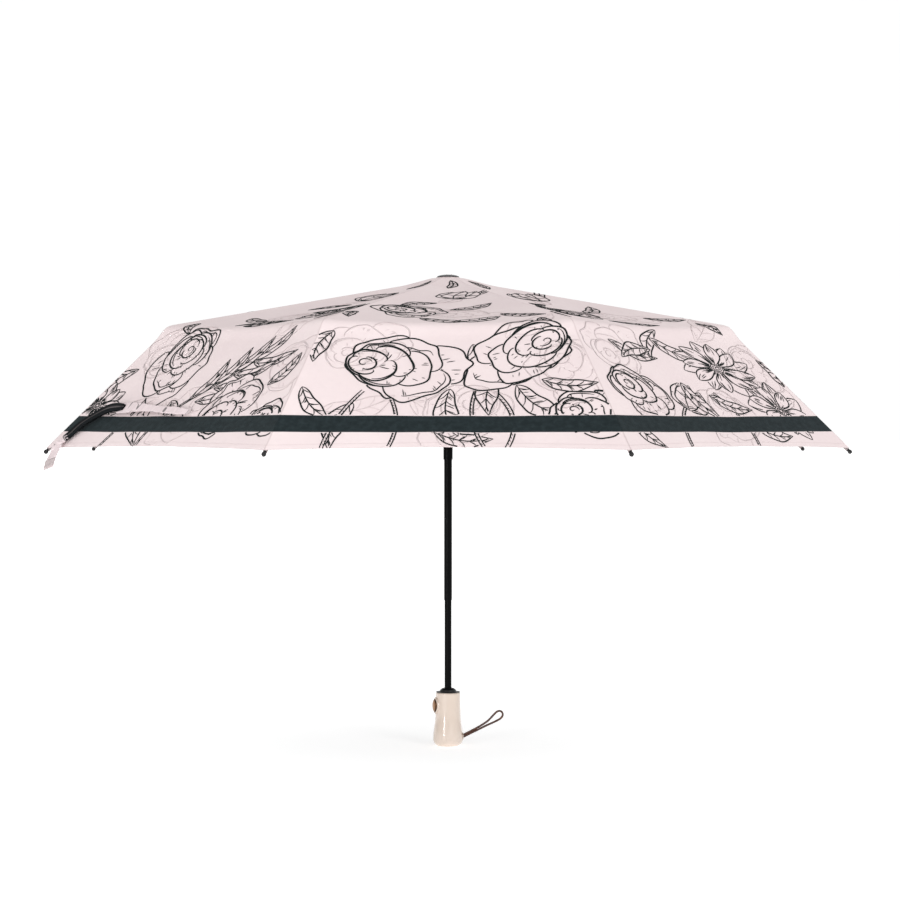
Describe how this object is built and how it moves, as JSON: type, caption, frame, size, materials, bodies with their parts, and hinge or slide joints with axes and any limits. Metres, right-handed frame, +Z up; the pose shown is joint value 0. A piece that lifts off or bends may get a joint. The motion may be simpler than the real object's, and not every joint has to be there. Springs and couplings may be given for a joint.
{
  "type": "folding umbrella",
  "caption": "Compact automatic folding umbrella, open: jointed Z-fold ribs under a pale printed canopy, telescoping shaft, runner, push-button handle, wrist cord and closure strap.",
  "frame": {"origin": "centre of the handle's flat base", "axes": "+Z up the shaft to the top cap; the wrist cord leaves the handle towards +X; the middle of one gore faces -Y"},
  "size_m": [0.886, 0.886, 0.55],
  "materials": {
    "black_paint": "satin",
    "black_plastic": "satin",
    "cream_gloss": "glossy",
    "bronze": "glossy",
    "spring_steel": "satin",
    "pink_cloth": "woven",
    "black_cloth": "woven",
    "brown_cord": "satin"
  },
  "bodies": {
    "handle": {"handle_shell": "cream_gloss", "base_cap": "cream_gloss", "mechanism_housing": "black_plastic", "cord_grommet": "cream_gloss", "cord_knot": "brown_cord", "wrist_cord": "brown_cord", "button_spring": "spring_steel", "main_spring": "spring_steel", "lower_tube": "black_paint"},
    "button": {"push_button": "bronze"},
    "mid_shaft": {"middle_tube": "black_paint"},
    "top_shaft": {"upper_tube": "black_paint", "crown": "black_plastic", "crown_ring": "spring_steel", "fabric_rosette": "pink_cloth", "top_cap": "black_plastic", "canopy": "pink_cloth"},
    "slider": {"runner": "black_plastic", "runner_ring": "spring_steel"},
    "inner_arm_1": {"inner_rib_1": "black_paint"},
    "strut_1": {"stretcher_1": "black_paint"},
    "middle_arm_1": {"middle_rib_1": "black_paint"},
    "outer_arm_1": {"outer_rib_1": "black_paint"},
    "wire_1": {"control_wire_1": "spring_steel"},
    "inner_arm_2": {"inner_rib_2": "black_paint"},
    "strut_2": {"stretcher_2": "black_paint"},
    "middle_arm_2": {"middle_rib_2": "black_paint"},
    "outer_arm_2": {"outer_rib_2": "black_paint"},
    "wire_2": {"control_wire_2": "spring_steel"},
    "inner_arm_3": {"inner_rib_3": "black_paint"},
    "strut_3": {"stretcher_3": "black_paint"},
    "middle_arm_3": {"middle_rib_3": "black_paint"},
    "outer_arm_3": {"outer_rib_3": "black_paint"},
    "wire_3": {"control_wire_3": "spring_steel"},
    "inner_arm_4": {"inner_rib_4": "black_paint"},
    "strut_4": {"stretcher_4": "black_paint"},
    "middle_arm_4": {"middle_rib_4": "black_paint"},
    "outer_arm_4": {"outer_rib_4": "black_paint"},
    "wire_4": {"control_wire_4": "spring_steel"},
    "inner_arm_5": {"inner_rib_5": "black_paint"},
    "strut_5": {"stretcher_5": "black_paint"},
    "middle_arm_5": {"middle_rib_5": "black_paint"},
    "outer_arm_5": {"outer_rib_5": "black_paint", "closure_strap": "black_cloth"},
    "wire_5": {"control_wire_5": "spring_steel"},
    "inner_arm_6": {"inner_rib_6": "black_paint"},
    "strut_6": {"stretcher_6": "black_paint"},
    "middle_arm_6": {"middle_rib_6": "black_paint"},
    "outer_arm_6": {"outer_rib_6": "black_paint"},
    "wire_6": {"control_wire_6": "spring_steel"},
    "inner_arm_7": {"inner_rib_7": "black_paint"},
    "strut_7": {"stretcher_7": "black_paint"},
    "middle_arm_7": {"middle_rib_7": "black_paint"},
    "outer_arm_7": {"outer_rib_7": "black_paint"},
    "wire_7": {"control_wire_7": "spring_steel"},
    "inner_arm_8": {"inner_rib_8": "black_paint"},
    "strut_8": {"stretcher_8": "black_paint"},
    "middle_arm_8": {"middle_rib_8": "black_paint"},
    "outer_arm_8": {"outer_rib_8": "black_paint"},
    "wire_8": {"control_wire_8": "spring_steel"}
  },
  "joints": [
    {"name": "push_button_slide", "type": "slide", "parent": "handle", "child": "button", "axis": [-0.9397, -0.342, 0], "range_m": [-0.0025, 0], "stiffness_N_per_m": 400, "springref_m": 0.001, "deforming": ["button_spring"]},
    {"name": "lower_shaft_slide", "type": "slide", "parent": "handle", "child": "mid_shaft", "axis": [0, 0, 1], "range_m": [-0.133, 0]},
    {"name": "upper_shaft_slide", "type": "slide", "parent": "mid_shaft", "child": "top_shaft", "axis": [0, 0, 1], "range_m": [-0.133, 0]},
    {"name": "runner_slide", "type": "slide", "parent": "top_shaft", "child": "slider", "axis": [0, 0, 1], "range_m": [-0.1341, 0], "deforming": ["canopy", "closure_strap"]},
    {"name": "crown_hinge_1", "type": "hinge", "parent": "top_shaft", "child": "inner_arm_1", "pos_m": [0.01386, 0.00574, 0.541], "axis": [-0.3827, 0.9239, 0], "range_deg": [0, 79.8]},
    {"name": "strut_hinge_1", "type": "hinge", "parent": "inner_arm_1", "child": "strut_1", "pos_m": [0.09453, 0.03916, 0.51807], "axis": [-0.3827, 0.9239, 0], "range_deg": [-159.6, 0]},
    {"name": "elbow_hinge_1", "type": "hinge", "parent": "inner_arm_1", "child": "middle_arm_1", "pos_m": [0.15934, 0.066, 0.51267], "axis": [-0.3827, 0.9239, 0], "range_deg": [-180, 0]},
    {"name": "knee_hinge_1", "type": "hinge", "parent": "middle_arm_1", "child": "outer_arm_1", "pos_m": [0.31021, 0.12849, 0.47719], "axis": [-0.3827, 0.9239, 0], "range_deg": [0, 146.2]},
    {"name": "wire_slide_1", "type": "slide", "parent": "middle_arm_1", "child": "wire_1", "axis": [0.9093, 0.3766, -0.1771], "range_m": [-0.005, 0]},
    {"name": "crown_hinge_2", "type": "hinge", "parent": "top_shaft", "child": "inner_arm_2", "pos_m": [0.00574, 0.01386, 0.541], "axis": [-0.9239, 0.3827, 0], "range_deg": [0, 79.8]},
    {"name": "strut_hinge_2", "type": "hinge", "parent": "inner_arm_2", "child": "strut_2", "pos_m": [0.03916, 0.09453, 0.51807], "axis": [-0.9239, 0.3827, 0], "range_deg": [-159.6, 0]},
    {"name": "elbow_hinge_2", "type": "hinge", "parent": "inner_arm_2", "child": "middle_arm_2", "pos_m": [0.066, 0.15934, 0.51267], "axis": [-0.9239, 0.3827, 0], "range_deg": [-180, 0]},
    {"name": "knee_hinge_2", "type": "hinge", "parent": "middle_arm_2", "child": "outer_arm_2", "pos_m": [0.12849, 0.31021, 0.47719], "axis": [-0.9239, 0.3827, 0], "range_deg": [0, 146.2]},
    {"name": "wire_slide_2", "type": "slide", "parent": "middle_arm_2", "child": "wire_2", "axis": [0.3766, 0.9093, -0.1771], "range_m": [-0.005, 0]},
    {"name": "crown_hinge_3", "type": "hinge", "parent": "top_shaft", "child": "inner_arm_3", "pos_m": [-0.00574, 0.01386, 0.541], "axis": [-0.9239, -0.3827, 0], "range_deg": [0, 79.8]},
    {"name": "strut_hinge_3", "type": "hinge", "parent": "inner_arm_3", "child": "strut_3", "pos_m": [-0.03916, 0.09453, 0.51807], "axis": [-0.9239, -0.3827, 0], "range_deg": [-159.6, 0]},
    {"name": "elbow_hinge_3", "type": "hinge", "parent": "inner_arm_3", "child": "middle_arm_3", "pos_m": [-0.066, 0.15934, 0.51267], "axis": [-0.9239, -0.3827, 0], "range_deg": [-180, 0]},
    {"name": "knee_hinge_3", "type": "hinge", "parent": "middle_arm_3", "child": "outer_arm_3", "pos_m": [-0.12849, 0.31021, 0.47719], "axis": [-0.9239, -0.3827, 0], "range_deg": [0, 146.2]},
    {"name": "wire_slide_3", "type": "slide", "parent": "middle_arm_3", "child": "wire_3", "axis": [-0.3766, 0.9093, -0.1771], "range_m": [-0.005, 0]},
    {"name": "crown_hinge_4", "type": "hinge", "parent": "top_shaft", "child": "inner_arm_4", "pos_m": [-0.01386, 0.00574, 0.541], "axis": [-0.3827, -0.9239, 0], "range_deg": [0, 79.8]},
    {"name": "strut_hinge_4", "type": "hinge", "parent": "inner_arm_4", "child": "strut_4", "pos_m": [-0.09453, 0.03916, 0.51807], "axis": [-0.3827, -0.9239, 0], "range_deg": [-159.6, 0]},
    {"name": "elbow_hinge_4", "type": "hinge", "parent": "inner_arm_4", "child": "middle_arm_4", "pos_m": [-0.15934, 0.066, 0.51267], "axis": [-0.3827, -0.9239, 0], "range_deg": [-180, 0]},
    {"name": "knee_hinge_4", "type": "hinge", "parent": "middle_arm_4", "child": "outer_arm_4", "pos_m": [-0.31021, 0.12849, 0.47719], "axis": [-0.3827, -0.9239, 0], "range_deg": [0, 146.2]},
    {"name": "wire_slide_4", "type": "slide", "parent": "middle_arm_4", "child": "wire_4", "axis": [-0.9093, 0.3766, -0.1771], "range_m": [-0.005, 0]},
    {"name": "crown_hinge_5", "type": "hinge", "parent": "top_shaft", "child": "inner_arm_5", "pos_m": [-0.01386, -0.00574, 0.541], "axis": [0.3827, -0.9239, 0], "range_deg": [0, 79.8]},
    {"name": "strut_hinge_5", "type": "hinge", "parent": "inner_arm_5", "child": "strut_5", "pos_m": [-0.09453, -0.03916, 0.51807], "axis": [0.3827, -0.9239, 0], "range_deg": [-159.6, 0]},
    {"name": "elbow_hinge_5", "type": "hinge", "parent": "inner_arm_5", "child": "middle_arm_5", "pos_m": [-0.15934, -0.066, 0.51267], "axis": [0.3827, -0.9239, 0], "range_deg": [-180, 0]},
    {"name": "knee_hinge_5", "type": "hinge", "parent": "middle_arm_5", "child": "outer_arm_5", "pos_m": [-0.31021, -0.12849, 0.47719], "axis": [0.3827, -0.9239, 0], "range_deg": [0, 146.2]},
    {"name": "wire_slide_5", "type": "slide", "parent": "middle_arm_5", "child": "wire_5", "axis": [-0.9093, -0.3766, -0.1771], "range_m": [-0.005, 0]},
    {"name": "crown_hinge_6", "type": "hinge", "parent": "top_shaft", "child": "inner_arm_6", "pos_m": [-0.00574, -0.01386, 0.541], "axis": [0.9239, -0.3827, 0], "range_deg": [0, 79.8]},
    {"name": "strut_hinge_6", "type": "hinge", "parent": "inner_arm_6", "child": "strut_6", "pos_m": [-0.03916, -0.09453, 0.51807], "axis": [0.9239, -0.3827, 0], "range_deg": [-159.6, 0]},
    {"name": "elbow_hinge_6", "type": "hinge", "parent": "inner_arm_6", "child": "middle_arm_6", "pos_m": [-0.066, -0.15934, 0.51267], "axis": [0.9239, -0.3827, 0], "range_deg": [-180, 0]},
    {"name": "knee_hinge_6", "type": "hinge", "parent": "middle_arm_6", "child": "outer_arm_6", "pos_m": [-0.12849, -0.31021, 0.47719], "axis": [0.9239, -0.3827, 0], "range_deg": [0, 146.2]},
    {"name": "wire_slide_6", "type": "slide", "parent": "middle_arm_6", "child": "wire_6", "axis": [-0.3766, -0.9093, -0.1771], "range_m": [-0.005, 0]},
    {"name": "crown_hinge_7", "type": "hinge", "parent": "top_shaft", "child": "inner_arm_7", "pos_m": [0.00574, -0.01386, 0.541], "axis": [0.9239, 0.3827, 0], "range_deg": [0, 79.8]},
    {"name": "strut_hinge_7", "type": "hinge", "parent": "inner_arm_7", "child": "strut_7", "pos_m": [0.03916, -0.09453, 0.51807], "axis": [0.9239, 0.3827, 0], "range_deg": [-159.6, 0]},
    {"name": "elbow_hinge_7", "type": "hinge", "parent": "inner_arm_7", "child": "middle_arm_7", "pos_m": [0.066, -0.15934, 0.51267], "axis": [0.9239, 0.3827, 0], "range_deg": [-180, 0]},
    {"name": "knee_hinge_7", "type": "hinge", "parent": "middle_arm_7", "child": "outer_arm_7", "pos_m": [0.12849, -0.31021, 0.47719], "axis": [0.9239, 0.3827, 0], "range_deg": [0, 146.2]},
    {"name": "wire_slide_7", "type": "slide", "parent": "middle_arm_7", "child": "wire_7", "axis": [0.3766, -0.9093, -0.1771], "range_m": [-0.005, 0]},
    {"name": "crown_hinge_8", "type": "hinge", "parent": "top_shaft", "child": "inner_arm_8", "pos_m": [0.01386, -0.00574, 0.541], "axis": [0.3827, 0.9239, 0], "range_deg": [0, 79.8]},
    {"name": "strut_hinge_8", "type": "hinge", "parent": "inner_arm_8", "child": "strut_8", "pos_m": [0.09453, -0.03916, 0.51807], "axis": [0.3827, 0.9239, 0], "range_deg": [-159.6, 0]},
    {"name": "elbow_hinge_8", "type": "hinge", "parent": "inner_arm_8", "child": "middle_arm_8", "pos_m": [0.15934, -0.066, 0.51267], "axis": [0.3827, 0.9239, 0], "range_deg": [-180, 0]},
    {"name": "knee_hinge_8", "type": "hinge", "parent": "middle_arm_8", "child": "outer_arm_8", "pos_m": [0.31021, -0.12849, 0.47719], "axis": [0.3827, 0.9239, 0], "range_deg": [0, 146.2]},
    {"name": "wire_slide_8", "type": "slide", "parent": "middle_arm_8", "child": "wire_8", "axis": [0.9093, -0.3766, -0.1771], "range_m": [-0.005, 0]}
  ],
  "couplings": [
    {"joint": "crown_hinge_1", "follows": "runner_slide", "rad_per_m": -10.386},
    {"joint": "strut_hinge_1", "follows": "runner_slide", "rad_per_m": 20.772},
    {"joint": "elbow_hinge_1", "follows": "runner_slide", "rad_per_m": 23.427},
    {"joint": "knee_hinge_1", "follows": "runner_slide", "rad_per_m": -19.028},
    {"joint": "wire_slide_1", "follows": "runner_slide", "ratio": 0.03728},
    {"joint": "crown_hinge_2", "follows": "runner_slide", "rad_per_m": -10.386},
    {"joint": "strut_hinge_2", "follows": "runner_slide", "rad_per_m": 20.772},
    {"joint": "elbow_hinge_2", "follows": "runner_slide", "rad_per_m": 23.427},
    {"joint": "knee_hinge_2", "follows": "runner_slide", "rad_per_m": -19.028},
    {"joint": "wire_slide_2", "follows": "runner_slide", "ratio": 0.03728},
    {"joint": "crown_hinge_3", "follows": "runner_slide", "rad_per_m": -10.386},
    {"joint": "strut_hinge_3", "follows": "runner_slide", "rad_per_m": 20.772},
    {"joint": "elbow_hinge_3", "follows": "runner_slide", "rad_per_m": 23.427},
    {"joint": "knee_hinge_3", "follows": "runner_slide", "rad_per_m": -19.028},
    {"joint": "wire_slide_3", "follows": "runner_slide", "ratio": 0.03728},
    {"joint": "crown_hinge_4", "follows": "runner_slide", "rad_per_m": -10.386},
    {"joint": "strut_hinge_4", "follows": "runner_slide", "rad_per_m": 20.772},
    {"joint": "elbow_hinge_4", "follows": "runner_slide", "rad_per_m": 23.427},
    {"joint": "knee_hinge_4", "follows": "runner_slide", "rad_per_m": -19.028},
    {"joint": "wire_slide_4", "follows": "runner_slide", "ratio": 0.03728},
    {"joint": "crown_hinge_5", "follows": "runner_slide", "rad_per_m": -10.386},
    {"joint": "strut_hinge_5", "follows": "runner_slide", "rad_per_m": 20.772},
    {"joint": "elbow_hinge_5", "follows": "runner_slide", "rad_per_m": 23.427},
    {"joint": "knee_hinge_5", "follows": "runner_slide", "rad_per_m": -19.028},
    {"joint": "wire_slide_5", "follows": "runner_slide", "ratio": 0.03728},
    {"joint": "crown_hinge_6", "follows": "runner_slide", "rad_per_m": -10.386},
    {"joint": "strut_hinge_6", "follows": "runner_slide", "rad_per_m": 20.772},
    {"joint": "elbow_hinge_6", "follows": "runner_slide", "rad_per_m": 23.427},
    {"joint": "knee_hinge_6", "follows": "runner_slide", "rad_per_m": -19.028},
    {"joint": "wire_slide_6", "follows": "runner_slide", "ratio": 0.03728},
    {"joint": "crown_hinge_7", "follows": "runner_slide", "rad_per_m": -10.386},
    {"joint": "strut_hinge_7", "follows": "runner_slide", "rad_per_m": 20.772},
    {"joint": "elbow_hinge_7", "follows": "runner_slide", "rad_per_m": 23.427},
    {"joint": "knee_hinge_7", "follows": "runner_slide", "rad_per_m": -19.028},
    {"joint": "wire_slide_7", "follows": "runner_slide", "ratio": 0.03728},
    {"joint": "crown_hinge_8", "follows": "runner_slide", "rad_per_m": -10.386},
    {"joint": "strut_hinge_8", "follows": "runner_slide", "rad_per_m": 20.772},
    {"joint": "elbow_hinge_8", "follows": "runner_slide", "rad_per_m": 23.427},
    {"joint": "knee_hinge_8", "follows": "runner_slide", "rad_per_m": -19.028},
    {"joint": "wire_slide_8", "follows": "runner_slide", "ratio": 0.03728}
  ]
}
